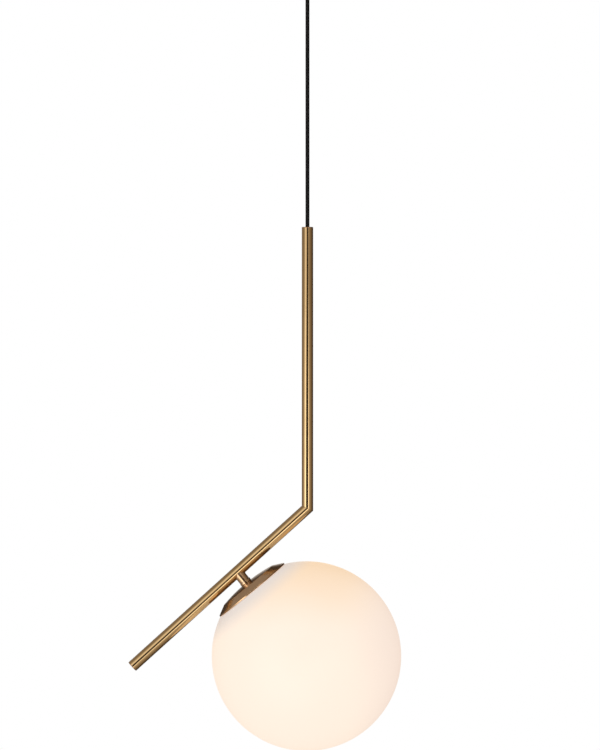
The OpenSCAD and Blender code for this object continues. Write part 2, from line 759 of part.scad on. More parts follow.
module contact_plunger() {
    color(bright_brass) head_frame() translate([0, 0, plunger_back]) {
        cylinder(r = plunger_r, h = plunger_h - 0.8);
        translate([0, 0, plunger_h - 0.8]) cylinder(r1 = plunger_r, r2 = plunger_r - 0.8, h = 0.8);
    }
}

// ---- Bulb ----

module bulb_contact() {
    color(steel) head_frame() translate([0, 0, contact_h]) cylinder(r1 = 1.8, r2 = 2.4, h = 0.8);
}

module bulb_insulator() {
    color("#2a2a2c") head_frame() translate([0, 0, contact_h + 0.8])
        cylinder(r1 = 2.6, r2 = lamp_cap_d / 2 - 0.75, h = lamp_cap_start - contact_h - 0.8);
}

// Screw cap, its thread drawn as round ridges at the thread's pitch.
module bulb_screw_cap() {
    r = lamp_cap_d / 2;
    inner_r = r - 0.8;
    ridges = floor((lamp_cap_end - lamp_cap_start - 1) / lamp_pitch);
    wave = [for (i = [0:ridges - 1]) for (p = [[0.5, 0.25], [0, 0.9], [0, 1.4], [0.5, 2.3]])
        [r - p[0], lamp_cap_start + 0.6 + i * lamp_pitch + p[1]]];
    color(steel) head_frame() rotate_extrude() polygon(concat(
        [[inner_r, lamp_cap_start], [r - 0.5, lamp_cap_start]], wave,
        [[r - 0.5, lamp_cap_end], [inner_r, lamp_cap_end]]));
}

module bulb_housing() {
    r = lamp_cap_d / 2;
    color(white_nylon) head_frame() rotate_extrude() polygon([[r - 2.1, lamp_cap_end - 8],
        [r - 0.9, lamp_cap_end - 8], [r - 0.9, lamp_cap_end], [r + 0.4, lamp_cap_end],
        [r + 0.8, lamp_cap_end + 3], [housing_r - 1.2, housing_end - 3], [housing_r, housing_end],
        [housing_r - 3.6, housing_end], [housing_r - 3.6, housing_end - 1.5],
        [housing_r - 2.7, housing_end - 3], [r - 0.4, lamp_cap_end + 3]]);
}

module driver_board() {
    w = 10;
    color("#2f6b3c") head_frame() translate([-w / 2, -0.6, lamp_cap_end + 2])
        cube([w, 1.2, housing_end - lamp_cap_end - 2]);
}

module led_board() {
    color("#f2f2ee") head_frame() translate([0, 0, housing_end]) cylinder(r = housing_r - 2.8, h = 1.5);
}

module led_chips() {
    color("#f2d34b") head_frame() for (a = [0:45:315]) rotate([0, 0, a])
        translate([5.6, -1.4, housing_end + 1.5]) cube([3.5, 2.8, 0.8]);
}

module bulb_envelope() {
    color(opal) head_frame() rotate_extrude() difference() {
        intersection() {
            translate([0, bulb_h]) circle(r = bulb_r);
            translate([0, housing_end]) square([bulb_r, 2 * bulb_r]);
        }
        translate([0, bulb_h]) circle(r = bulb_r - bulb_wall);
    }
}

ceiling_bracket();
canopy();
canopy_screws();
terminal_block();
terminal_tubes();
terminal_screws();
block_screws();
earth_screw();
earth_link();
supply_live_core();
supply_neutral_core();
supply_earth_core();
flex_tail();
grip_washer();
grip_nut();
grip_body();
grip_collet();
grip_cap();
flex_top();
flex_drop();
stem_cap();
flex_anchor();
stem();
arm();
arm_end_plug();
post();
post_collar();
inner_flex();
live_core();
neutral_core();
earth_core();
nipple();
globe_cap();
cap_washer();
cap_nut();
holder_cap();
holder_core();
holder_body();
holder_shell();
holder_clamps();
holder_screws();
contact_spring();
contact_plunger();
bulb_contact();
bulb_insulator();
bulb_screw_cap();
bulb_housing();
driver_board();
led_board();
led_chips();
bulb_envelope();
globe_gasket();
globe();
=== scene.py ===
"""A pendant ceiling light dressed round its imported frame: ceiling fitting, flex, brass rod and opal globe.

Every size is in metres and every place is in the frame's own coordinates, with +Z up and the
origin on the ceiling. Each sub-assembly is a class that builds its meshes and gives them a finish.
"""

import json
import logging
import math
from dataclasses import dataclass, field
from enum import Enum
from typing import Callable, Sequence, Union

import bmesh
import bpy
from mathutils import Matrix, Vector


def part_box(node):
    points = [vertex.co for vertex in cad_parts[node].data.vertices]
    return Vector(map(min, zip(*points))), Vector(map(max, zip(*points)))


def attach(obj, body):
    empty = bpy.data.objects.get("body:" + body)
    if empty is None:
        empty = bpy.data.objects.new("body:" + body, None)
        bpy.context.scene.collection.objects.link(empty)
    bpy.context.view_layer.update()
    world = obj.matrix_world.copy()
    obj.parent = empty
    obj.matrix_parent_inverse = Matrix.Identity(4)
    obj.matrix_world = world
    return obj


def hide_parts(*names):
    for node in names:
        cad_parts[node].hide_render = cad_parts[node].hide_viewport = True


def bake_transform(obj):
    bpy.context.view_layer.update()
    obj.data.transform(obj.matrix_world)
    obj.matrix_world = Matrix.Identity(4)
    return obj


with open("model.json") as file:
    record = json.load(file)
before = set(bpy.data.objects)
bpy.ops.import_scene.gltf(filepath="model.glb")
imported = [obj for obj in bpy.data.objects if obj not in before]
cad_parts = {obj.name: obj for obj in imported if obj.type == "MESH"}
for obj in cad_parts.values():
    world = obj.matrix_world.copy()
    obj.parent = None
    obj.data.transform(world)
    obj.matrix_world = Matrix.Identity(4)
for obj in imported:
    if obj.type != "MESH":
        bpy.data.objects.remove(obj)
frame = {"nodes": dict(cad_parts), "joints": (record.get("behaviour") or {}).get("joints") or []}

logging.basicConfig(level=logging.INFO, format="%(message)s")
log = logging.getLogger("pendant")

MM = 0.001
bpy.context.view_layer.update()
Number = Union[float, "Value"]


# ---- Shader maths ----


class Value:
    """One output socket of a node tree, on which Python's operators add Math nodes."""

    def __init__(self, tree: "Tree", socket: bpy.types.NodeSocket) -> None:
        """Wraps a socket.

        Args:
            tree: The tree that the socket's node is in.
            socket: The output socket.
        """
        self.tree = tree
        self.socket = socket

    def math(self, operation: str, *values: Number) -> "Value":
        """Adds one Math node.

        Args:
            operation: The node's operation.
            values: What its sockets take, in order.

        Returns:
            The node's result.
        """
        return self.tree.add("ShaderNodeMath", {"operation": operation}, dict(enumerate(values)))

    def __add__(self, other: Number) -> "Value":
        """Sum."""
        return self.math("ADD", self, other)

    def __radd__(self, other: Number) -> "Value":
        """Sum with a number on the left."""
        return self.math("ADD", other, self)

    def __sub__(self, other: Number) -> "Value":
        """Difference."""
        return self.math("SUBTRACT", self, other)

    def __rsub__(self, other: Number) -> "Value":
        """Difference with a number on the left."""
        return self.math("SUBTRACT", other, self)

    def __mul__(self, other: Number) -> "Value":
        """Product."""
        return self.math("MULTIPLY", self, other)

    def __rmul__(self, other: Number) -> "Value":
        """Product with a number on the left."""
        return self.math("MULTIPLY", other, self)

    def __truediv__(self, other: Number) -> "Value":
        """Quotient."""
        return self.math("DIVIDE", self, other)

    def __rtruediv__(self, other: Number) -> "Value":
        """Quotient with a number on the left."""
        return self.math("DIVIDE", other, self)

    def __pow__(self, other: Number) -> "Value":
        """Power."""
        return self.math("POWER", self, other)

    def __neg__(self) -> "Value":
        """Opposite."""
        return self.math("MULTIPLY", self, -1.0)

    def ramp(self, low: float, high: float) -> "Value":
        """Rises smoothly from 0 where this is low to 1 where it is high."""
        settings = {"interpolation_type": "SMOOTHSTEP"}
        return self.tree.add("ShaderNodeMapRange", settings, {"Value": self, "From Min": low, "From Max": high})

    def out(self, name: str) -> "Value":
        """Another output of the same node."""
        return Value(self.tree, self.socket.node.outputs[name])


class Tree:
    """A node tree to which one method adds every node."""

    def __init__(self, tree: bpy.types.NodeTree) -> None:
        """Empties a tree and keeps it."""
        self.tree = tree
        tree.nodes.clear()

    def add(self, kind: str, settings: dict[str, object], inputs: dict[Union[str, int], object]) -> Value:
        """Adds one node.

        Args:
            kind: The node's type.
            settings: The node's own settings, set first. "stops" gives a ramp its stops.
            inputs: A value or a link for each socket, by its name or its place.

        Returns:
            The first of the node's outputs that is in use.
        """
        node = self.tree.nodes.new(kind)
        for name, setting in settings.items():
            if name == "stops":
                self._set_stops(node.color_ramp, setting)
            else:
                setattr(node, name, setting)
        for key, given in inputs.items():
            socket = self._socket(node, key)
            if isinstance(given, Value):
                self.tree.links.new(given.socket, socket)
            else:
                socket.default_value = given
        used = [s for s in node.outputs if s.enabled]
        return Value(self, used[0]) if used else Value(self, None)

    @staticmethod
    def _socket(node: bpy.types.Node, key: Union[str, int]) -> bpy.types.NodeSocket:
        """The input of a node with a name or a place, among those in use."""
        if isinstance(key, int):
            return node.inputs[key]
        return next(s for s in node.inputs if s.name == key and s.enabled)

    @staticmethod
    def _set_stops(ramp: bpy.types.ColorRamp, stops: Sequence[tuple[float, Sequence[float]]]) -> None:
        """Gives a ramp its stops, each a place and a colour."""
        while len(ramp.elements) < len(stops):
            ramp.elements.new(0.5)
        for element, (place, color) in zip(ramp.elements, stops):
            element.position = place
            element.color = (*color, 1.0)

    def local(self, place: Matrix) -> Value:
        """Object coordinates measured in the frame of a piece.

        Args:
            place: Takes the piece's own frame to the light's frame.

        Returns:
            The coordinates, with Z along the piece.
        """
        coordinates = self.add("ShaderNodeTexCoord", {}, {}).out("Object")
        inputs = {"Vector": coordinates, "Location": place.translation, "Rotation": place.to_euler("XYZ")}
        return self.add("ShaderNodeMapping", {"vector_type": "TEXTURE"}, inputs)

    def split(self, vector: Value) -> tuple[Value, Value, Value]:
        """The three parts of a vector."""
        parts = self.add("ShaderNodeSeparateXYZ", {}, {"Vector": vector})
        return parts.out("X"), parts.out("Y"), parts.out("Z")

    def join(self, x: Number, y: Number, z: Number) -> Value:
        """A vector from its three parts."""
        return self.add("ShaderNodeCombineXYZ", {}, {"X": x, "Y": y, "Z": z})

    def scaled(self, vector: Value, by: Sequence[float]) -> Value:
        """A vector stretched along each axis."""
        return self.add("ShaderNodeVectorMath", {"operation": "MULTIPLY"}, {0: vector, 1: by})

    def noise(self, vector: Value, scale: float, detail: float = 3.0) -> Value:
        """Soft noise from 0 to 1."""
        return self.add("ShaderNodeTexNoise", {}, {"Vector": vector, "Scale": scale, "Detail": detail})

    def mix(self, factor: Number, first: object, second: object) -> Value:
        """A colour between two colours."""
        inputs = {"Factor": factor, "A": opaque(first), "B": opaque(second)}
        return self.add("ShaderNodeMix", {"data_type": "RGBA"}, inputs)

    def bump(self, height: Value, depth: float, strength: float = 1.0) -> Value:
        """A normal that a height from 0 to 1 tilts.

        Args:
            height: The height, as a share of the depth.
            depth: The depth of the marks.
            strength: How much of the tilt is used.

        Returns:
            The tilted normal.
        """
        return self.add("ShaderNodeBump", {}, {"Height": height, "Distance": depth, "Strength": strength})


def opaque(color: object) -> object:
    """A colour with an alpha of 1, or a link as it is."""
    return color if isinstance(color, Value) else (*color[:3], 1.0)


# ---- Finishes ----


class Lay(Enum):
    """How the fine marks of working lie on a metal piece."""

    ROUND = "rings round the axis"
    FACE = "rings on a turned face"
    LENGTH = "lines along the axis"


@dataclass(frozen=True)
class Finish:
    """What every finish has: a name, the record's slot and the plain shader values."""

    name: str
    slot: str
    color: tuple[float, float, float]
    roughness: float
    metallic: float = 0.0

    def start(self, part: str, place: Matrix) -> tuple[bpy.types.Material, Tree, Value]:
        """An empty material for a part, its tree and the part's own coordinates."""
        material = bpy.data.materials.new(f"{self.name}_{part}")
        material.use_nodes = True
        material.diffuse_color = (*self.color, 1.0)
        tree = Tree(material.node_tree)
        return material, tree, tree.local(place)

    def close(self, tree: Tree, inputs: dict[str, object]) -> None:
        """Ends a tree in a Principled shader.

        Args:
            tree: The tree to end.
            inputs: Its sockets that differ from the finish's own plain values.
        """
        plain = {"Base Color": opaque(self.color), "Roughness": self.roughness, "Metallic": self.metallic}
        shader = tree.add("ShaderNodeBsdfPrincipled", {}, {**plain, **inputs})
        tree.add("ShaderNodeOutputMaterial", {}, {"Surface": shader})

    def material(self, part: str, place: Matrix) -> bpy.types.Material:
        """The finish for one part.

        Args:
            part: The part's name, which ends the material's name.
            place: The part's own frame, with Z along it.

        Returns:
            The material.
        """
        raise NotImplementedError


@dataclass(frozen=True)
class Metal(Finish):
    """Worked metal with fine marks, broad dull patches and a breath of tarnish."""

    lay: Lay = Lay.ROUND
    tarnish: tuple[float, float, float] = (0.45, 0.30, 0.12)
    tarnish_share: float = 0.25
    marks: float = 2600.0
    depth: float = 4e-6

    def worked(self, tree: Tree, vector: Value) -> Value:
        """Coordinates in which noise makes marks that lie as the finish says."""
        x, y, z = tree.split(vector)
        if self.lay is Lay.ROUND:
            return tree.scaled(vector, (0.02, 0.02, 1.0))
        if self.lay is Lay.LENGTH:
            return tree.scaled(vector, (1.0, 1.0, 0.02))
        radius = (x * x + y * y) ** 0.5
        turn = tree.add("ShaderNodeMath", {"operation": "ARCTAN2"}, {0: y, 1: x})
        return tree.join(radius, z, turn * 0.0006)

    def material(self, part: str, place: Matrix) -> bpy.types.Material:
        """The metal for one part, with its marks turned to the part's own frame."""
        material, tree, vector = self.start(part, place)
        worked = self.worked(tree, vector)
        fine = tree.noise(worked, self.marks, 4.0)
        coarse = tree.noise(worked, self.marks * 0.21, 2.0)
        patches = tree.noise(vector, 38.0, 3.0)
        dull = patches.ramp(0.42, 0.72)
        color = tree.mix(dull * self.tarnish_share, self.color, self.tarnish)
        shade = tree.mix(fine * 0.12 + coarse * 0.10, color, (0.0, 0.0, 0.0))
        roughness = self.roughness + dull * 0.06 + (fine - 0.5) * 0.08
        height = fine * 0.55 + coarse * 0.45
        normal = tree.bump(height, self.depth)
        self.close(tree, {"Base Color": shade, "Roughness": roughness, "Normal": normal})
        return material


@dataclass(frozen=True)
class Moulded(Finish):
    """Moulded plastic, rubber or glazed ceramic, with a fine grain and faint clouds of tone."""

    grain: float = 1400.0
    depth: float = 6e-6
    tone: float = 0.12
    coat: float = 0.0

    def material(self, part: str, place: Matrix) -> bpy.types.Material:
        """The moulded finish for one part."""
        material, tree, vector = self.start(part, place)
        grain = tree.noise(vector, self.grain, 3.0)
        clouds = tree.noise(vector, 55.0, 2.0)
        darker = tuple(part_of * (1.0 - 2.0 * self.tone) for part_of in self.color)
        color = tree.mix(clouds * 0.6 + grain * 0.4, self.color, darker)
        roughness = self.roughness + (grain - 0.5) * 0.12 + (clouds - 0.5) * 0.06
        normal = tree.bump(grain, self.depth)
        inputs = {"Base Color": color, "Roughness": roughness, "Normal": normal, "Coat Weight": self.coat}
        self.close(tree, inputs)
        return material


@dataclass(frozen=True)
class Sheath(Finish):
    """Smooth extruded sheath of a flex: drawn faintly along its length, with a little dust."""

    bloom: tuple[float, float, float] = (0.02, 0.02, 0.021)

    def material(self, part: str, place: Matrix) -> bpy.types.Material:
        """The sheath for one part."""
        material, tree, vector = self.start(part, place)
        drawn = tree.noise(tree.scaled(vector, (1.0, 1.0, 0.01)), 2200.0, 2.0)
        dust = tree.noise(vector, 420.0, 4.0).ramp(0.5, 0.85)
        color = tree.mix(dust * 0.5, self.color, self.bloom)
        roughness = self.roughness + dust * 0.15 + (drawn - 0.5) * 0.08
        normal = tree.bump(drawn, 8e-6)
        inputs = {"Base Color": color, "Roughness": roughness, "Normal": normal, "Specular IOR Level": 0.15}
        self.close(tree, inputs)
        return material


@dataclass(frozen=True)
class TwoTone(Finish):
    """Insulation that is half one colour and half another along its length."""

    other: tuple[float, float, float] = (0.80, 0.62, 0.03)

    def material(self, part: str, place: Matrix) -> bpy.types.Material:
        """The insulation for one part, split on the plane through its frame's Y."""
        material, tree, vector = self.start(part, place)
        _, y, _ = tree.split(vector)
        edge = tree.noise(vector, 900.0, 2.0) * 0.0001
        side = (y + edge).ramp(-0.00006, 0.00006)
        grain = tree.noise(vector, 1800.0, 2.0)
        color = tree.mix(side, self.color, self.other)
        roughness = self.roughness + (grain - 0.5) * 0.1
        self.close(tree, {"Base Color": color, "Roughness": roughness, "Normal": tree.bump(grain, 4e-6)})
        return material


@dataclass(frozen=True)
class Board(Finish):
    """Coated board with straight tracks under the coat."""

    track: tuple[float, float, float] = (0.10, 0.36, 0.14)

    def material(self, part: str, place: Matrix) -> bpy.types.Material:
        """The board for one part, with its tracks along its frame."""
        material, tree, vector = self.start(part, place)
        settings = {"wave_type": "BANDS", "bands_direction": "X"}
        inputs = {"Vector": vector, "Scale": 150.0, "Distortion": 3.0, "Detail": 1.0}
        tracks = tree.add("ShaderNodeTexWave", settings, inputs).out("Fac").ramp(0.55, 0.62)
        color = tree.mix(tracks, self.color, self.track)
        self.close(tree, {"Base Color": color, "Normal": tree.bump(tracks, 3e-5), "Coat Weight": 0.5})
        return material


@dataclass(frozen=True)
class OpalGlass(Finish):
    """Satin opal glass lit from inside, with painted light and shade in its glow: a painted warm glow above,
    paler below, a painted darker side towards +X and a painted shadow of the cap by the neck, with faint
    clouds.
    """

    # Painted light and shade in the glow: the first colour is a painted warm glow towards the top, the second
    # the paler glow towards the bottom, the third a painted darker side towards +X, the fourth a painted shadow
    # of the cap and holder on the glass by the neck.
    painted_top_tint: tuple[float, float, float] = (0.66, 0.43, 0.22)
    pale: tuple[float, float, float] = (0.72, 0.57, 0.45)
    rim: tuple[float, float, float] = (0.65, 0.50, 0.41)
    # painted shadow of the cap and holder on the glass by the neck
    shade: tuple[float, float, float] = (0.48, 0.41, 0.37)
    radius: float = 0.1
    strength: float = 1.0
    neck: Vector = field(default_factory=lambda: Vector((0.0, 0.0, 0.0)))

    def material(self, part: str, place: Matrix) -> bpy.types.Material:
        """The glass for one part, with its glow measured from the middle of its frame."""
        material, tree, vector = self.start(part, place)
        x, _, z = tree.split(vector)
        clouds = tree.noise(vector, 9.0, 2.0)
        drift = (clouds - 0.5) * 0.25
        # painted glow gradient: warmer towards the top, paler towards the bottom
        glow = tree.mix((z / self.radius + drift).ramp(0.25, 1.1), self.pale, self.painted_top_tint)
        # painted shade: the glass is darker towards its +X side
        glow = tree.mix((x / self.radius + drift).ramp(0.35, 1.05), glow, self.rim)
        # painted shadow: the glow darkens towards the neck, where the cap and holder would shade the glass
        near = (x * self.neck.x + z * self.neck.z) / self.radius
        glow = tree.mix(near.ramp(0.70, 0.90), glow, self.shade)
        seeds = tree.noise(vector, 700.0, 2.0)
        inputs = {
            "Emission Color": glow, "Emission Strength": self.strength, "Specular IOR Level": 0.25,
            "Roughness": self.roughness + (seeds - 0.5) * 0.06, "Normal": tree.bump(seeds, 2e-6),
        }
        self.close(tree, inputs)
        return material


BRASS = (0.62, 0.43, 0.215)
TUBE_BRASS = Metal("tube_brass", "brushed_brass", BRASS, 0.10, 1.0, Lay.ROUND)
FACE_BRASS = Metal(
    "face_brass", "brushed_brass", (0.64, 0.42, 0.24), 0.17, 1.0, Lay.FACE, (0.42, 0.24, 0.11), marks=2200.0
)
BRIGHT_BRASS = Metal("bright_brass", "plain_brass", (0.78, 0.58, 0.27), 0.16, 1.0, Lay.FACE, tarnish_share=0.15)
ZINC = Metal("zinc", "zinc_steel", (0.66, 0.67, 0.69), 0.30, 1.0, Lay.LENGTH, (0.42, 0.42, 0.40), 0.5)
NICKEL = Metal("nickel_plate", "nickel", (0.74, 0.73, 0.70), 0.14, 1.0, Lay.ROUND, (0.50, 0.48, 0.42), 0.3)
FLEX = Sheath("flex_sheath", "black_flex", (0.006, 0.006, 0.0065), 0.42)
LIVE = Moulded("live_insulation", "brown_core", (0.19, 0.075, 0.03), 0.4)
NEUTRAL = Moulded("neutral_insulation", "blue_core", (0.03, 0.13, 0.42), 0.4)
EARTH = TwoTone("earth_insulation", "green_yellow_core", (0.05, 0.35, 0.07), 0.4)
NYLON = Moulded("nylon", "white_nylon", (0.82, 0.81, 0.77), 0.42, tone=0.04)
CERAMIC = Moulded("ceramic_glaze", "ceramic", (0.86, 0.84, 0.78), 0.22, tone=0.05, coat=0.6)
BLACK_GLASS = Moulded("foot_glass", "black_glass", (0.02, 0.02, 0.022), 0.12, tone=0.2, coat=0.4)
SILICONE = Moulded("silicone_rubber", "silicone", (0.72, 0.72, 0.69), 0.5, tone=0.05)
GREEN_BOARD = Board("driver_coat", "board_green", (0.03, 0.19, 0.06), 0.35)
WHITE_BOARD = Board("led_coat", "board_white", (0.86, 0.86, 0.84), 0.4, track=(0.76, 0.76, 0.74))
PHOSPHOR = Moulded("phosphor_gel", "phosphor", (0.90, 0.66, 0.10), 0.3, tone=0.1, coat=0.5)
# direction to the globe's neck, towards which the glass gets its painted shadow of the cap
NECK_WAY = Vector((-0.635, 0.0, 0.773))
GLOBE_GLASS = OpalGlass("globe_glass", "opal_glass", (0.84, 0.83, 0.80), 0.42, neck=NECK_WAY)
BULB_GLASS = OpalGlass("bulb_glass", "opal_glass", (0.86, 0.85, 0.82), 0.38, radius=0.0225, strength=1.2)


# ---- Places ----


def facing(origin: Vector, direction: Vector) -> Matrix:
    """A frame in the middle plane of the light.

    Args:
        origin: Where the frame's middle is.
        direction: Where its Z points, square to the light's Y.

    Returns:
        The matrix that takes the frame's coordinates to the light's.
    """
    z = direction.normalized()
    y = Vector((0.0, 1.0, 0.0))
    x = y.cross(z)
    turn = Matrix((x, y, z)).transposed().to_4x4()
    return Matrix.Translation(origin) @ turn


def joint(name: str) -> dict:
    """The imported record's joint of a name."""
    return next(j for j in frame["joints"] if j["name"] == name)


@dataclass(frozen=True)
class Layout:
    """Where the light's main lines run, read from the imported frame."""

    slope: float = math.radians(42.1)

    @property
    def rod_radius(self) -> float:
        """Outside radius of the brass tube."""
        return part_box("stem")[1].x

    @property
    def stem_top(self) -> float:
        """Height of the top of the stem."""
        return joint("twist")["pos_m"][2]

    @property
    def bend(self) -> Vector:
        """Where the middle lines of stem and arm meet."""
        half_turn = (math.pi / 2 - self.slope) / 2
        return Vector((0.0, 0.0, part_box("stem")[0].z + self.rod_radius * math.tan(half_turn)))

    @property
    def arm_way(self) -> Vector:
        """Direction down the arm."""
        return Vector((-math.cos(self.slope), 0.0, -math.sin(self.slope)))

    @property
    def head_way(self) -> Vector:
        """Direction from the arm to the middle of the globe."""
        return Vector(joint("globe_turn")["axis"]).normalized()

    @property
    def globe_middle(self) -> Vector:
        """Middle of the globe."""
        return Vector(joint("globe_turn")["pos_m"])

    @property
    def post_at(self) -> float:
        """Distance down the arm from the bend to the head's own line."""
        across = Vector((-self.head_way.z, 0.0, self.head_way.x))
        return (self.globe_middle - self.bend).dot(across) / self.arm_way.dot(across)

    @property
    def head(self) -> Matrix:
        """Frame on the arm's middle line, with Z towards the middle of the globe."""
        return facing(self.bend + self.arm_way * self.post_at, self.head_way)

    @property
    def globe_reach(self) -> float:
        """Distance from the arm's middle line to the middle of the globe."""
        return (self.globe_middle - self.head.translation).length

    @property
    def arm(self) -> Matrix:
        """Frame at the bend, with Z down the arm."""
        return facing(self.bend, self.arm_way)

    @property
    def arm_length(self) -> float:
        """Length of the arm from the bend to the end of its plug."""
        plug_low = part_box("arm_end_plug")[0]
        corner = self.bend.z - plug_low.z - self.rod_radius * math.cos(self.slope)
        return corner / math.sin(self.slope)

    def down(self, height: float) -> Matrix:
        """Frame on the light's own axis at a height, with Z down."""
        return facing(Vector((0.0, 0.0, height)), Vector((0.0, 0.0, -1.0)))


LAYOUT = Layout()


# ---- Making meshes ----


@dataclass(frozen=True)
class Corner:
    """One corner of a turned outline: its radius, its height and how far it is rounded."""

    r: float
    z: float
    rounding: float = 0.0


def rounded(corners: Sequence[Corner], steps: int = 5) -> list[Vector]:
    """Points of a closed outline with its corners rounded by arcs.

    Args:
        corners: The corners, in order round the outline.
        steps: How many straight runs an arc has.

    Returns:
        The points, with the radius in X and the height in Z.
    """
    points: list[Vector] = []
    for i, corner in enumerate(corners):
        at = Vector((corner.r, 0.0, corner.z))
        if corner.rounding == 0.0:
            points.append(at)
            continue
        before, after = corners[i - 1], corners[(i + 1) % len(corners)]
        back = (Vector((before.r, 0.0, before.z)) - at).normalized()
        ahead = (Vector((after.r, 0.0, after.z)) - at).normalized()
        half = back.angle(ahead) / 2
        middle = at + (back + ahead).normalized() * (corner.rounding / math.sin(half))
        start = at + back * (corner.rounding / math.tan(half)) - middle
        end = at + ahead * (corner.rounding / math.tan(half)) - middle
        points += [middle + start.slerp(end, k / steps) * corner.rounding for k in range(steps + 1)]
    return points


def arc(middle: Corner, start: float, end: float, steps: int) -> list[Corner]:
    """Corners along an arc of an outline.

    Args:
        middle: The arc's middle, with its radius as its rounding.
        start: Angle of the first point from straight up, in radians.
        end: Angle of the last point.
        steps: How many runs the arc has.

    Returns:
        The corners, unrounded.
    """
    radius = middle.rounding
    turns = [start + (end - start) * k / steps for k in range(steps + 1)]
    return [Corner(middle.r + radius * math.sin(a), middle.z + radius * math.cos(a)) for a in turns]


def turn(outline: Sequence[Vector], segments: int) -> bmesh.types.BMesh:
    """Turns a closed outline round Z into a solid.

    Args:
        outline: The points, with the radius in X and the height in Z.
        segments: How many steps go round.

    Returns:
        The solid's mesh, closed and facing outwards.
    """
    bm = bmesh.new()
    verts = [bm.verts.new(p) for p in outline]
    edges = [bm.edges.new((verts[i - 1], verts[i])) for i in range(len(verts))]
    bmesh.ops.spin(
        bm, geom=verts + edges, cent=(0, 0, 0), axis=(0, 0, 1), angle=math.tau, steps=segments, use_merge=True
    )
    bmesh.ops.remove_doubles(bm, verts=bm.verts, dist=1e-7)
    bmesh.ops.dissolve_degenerate(bm, edges=bm.edges, dist=1e-7)
    bmesh.ops.recalc_face_normals(bm, faces=bm.faces)
    return bm


@dataclass(frozen=True)
class Piece:
    """What is said of one new piece when it joins the light."""

    name: str
    body: str
    finish: Finish
    replaces: tuple[str, ...]
    crease: float = math.radians(32)

    def join(self, bm: bmesh.types.BMesh, place: Matrix, ride: bool = True) -> bpy.types.Object:
        """Makes the piece from a mesh and joins it to the light.

        Args:
            bm: The piece's mesh in its own frame, which is used up.
            place: Takes the piece's own frame to the light's.
            ride: Whether the piece rides on its body now.

        Returns:
            The piece's object.
        """
        bmesh.ops.transform(bm, matrix=place, verts=bm.verts)
        for face in bm.faces:
            face.smooth = True
        for edge in bm.edges:
            edge.smooth = len(edge.link_faces) != 2 or edge.calc_face_angle(0.0) < self.crease
        mesh = bpy.data.meshes.new(self.name)
        bm.to_mesh(mesh)
        bm.free()
        made = bpy.data.objects.new(self.name, mesh)
        bpy.context.scene.collection.objects.link(made)
        weighted = made.modifiers.new("even_faces", "WEIGHTED_NORMAL")
        weighted.keep_sharp = True
        mesh.materials.append(self.finish.material(self.name, place))
        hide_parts(*self.replaces)
        if ride:
            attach(made, self.body)
        log.info("made %s: %d faces on %s", self.name, len(mesh.polygons), self.body)
        return made


def dress(node: str, finish: Finish, place: Matrix) -> None:
    """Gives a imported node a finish.

    Args:
        node: The node's name.
        finish: Its finish.
        place: The node's own frame, which its pattern follows.
    """
    shown = frame["nodes"][node]
    material = finish.material(node, place)
    if not shown.material_slots:
        shown.data.materials.append(material)
    for held in shown.material_slots:
        held.material = material
    log.info("dressed %s as %s", node, finish.name)


def dress_all(finishes: dict[str, Finish], place: Matrix) -> None:
    """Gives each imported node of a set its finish, in one shared frame."""
    for node, finish in finishes.items():
        dress(node, finish, place)


def edges_near(bm: bmesh.types.BMesh, near: Callable[[Vector], bool]) -> list[bmesh.types.BMEdge]:
    """The edges whose two ends both pass a test."""
    return [e for e in bm.edges if all(near(v.co) for v in e.verts)]


# ---- The flex between the ceiling fitting and the stem ----


@dataclass
class HangingFlex:
    """The round flex that the lamp hangs on, from the cord grip down into the stem."""

    diameter: float = 4.2 * MM
    sides: int = 24
    exit: Vector = field(default_factory=lambda: Vector((0.0, 0.0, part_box("grip_cap")[0].z)))
    link_shares: tuple[float, ...] = (0, 0.3, 0.7, 1)
    drop_steps: int = 25

    def route(self) -> list[Vector]:
        """Points down the middle of the flex."""
        top = joint("swing")["pos_m"][2]
        bend = joint("sway")["pos_m"][2]
        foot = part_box("flex_drop")[0].z
        link = [top + share * (bend - top) for share in self.link_shares]
        drop = [bend + k / self.drop_steps * (foot - bend) for k in range(1, self.drop_steps + 1)]
        return [Vector((0.0, 0.0, z)) for z in link + drop]

    def sheath(self, route: Sequence[Vector]) -> bmesh.types.BMesh:
        """A round tube swept down the route, with a domed top end."""
        radius = self.diameter / 2
        bm = bmesh.new()
        dome = [(route[0].z + radius * math.sin(a), radius * math.cos(a)) for a in (1.4, 1.1, 0.75, 0.35)]
        stations = dome + [(point.z, radius) for point in route]
        ring = bmesh.ops.create_circle(
            bm, segments=self.sides, radius=stations[0][1], cap_ends=True,
            matrix=Matrix.Translation((0, 0, stations[0][0])),
        )["verts"]
        edges = [e for e in bm.edges if all(v in ring for v in e.verts)]
        for (z_before, r_before), (z, r) in zip(stations, stations[1:]):
            made = bmesh.ops.extrude_edge_only(bm, edges=edges)["geom"]
            ring = [g for g in made if isinstance(g, bmesh.types.BMVert)]
            edges = [g for g in made if isinstance(g, bmesh.types.BMEdge)]
            bmesh.ops.translate(bm, verts=ring, vec=(0, 0, z - z_before))
            bmesh.ops.scale(bm, verts=ring, vec=(r / r_before, r / r_before, 1))
        bmesh.ops.contextual_create(bm, geom=edges)
        bmesh.ops.recalc_face_normals(bm, faces=bm.faces)
        return bm

    def build(self) -> None:
        route = self.route()
        piece = Piece("hanging_flex", "cord", FLEX, ("flex_top", "flex_drop"))
        made = piece.join(self.sheath(route), Matrix.Identity(4), ride=False)
        middle = joint("sway")["pos_m"][2]
        spread = 5 * self.diameter / 2
        middle + spread
        middle - spread
        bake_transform(made)


# ---- The brass rod ----


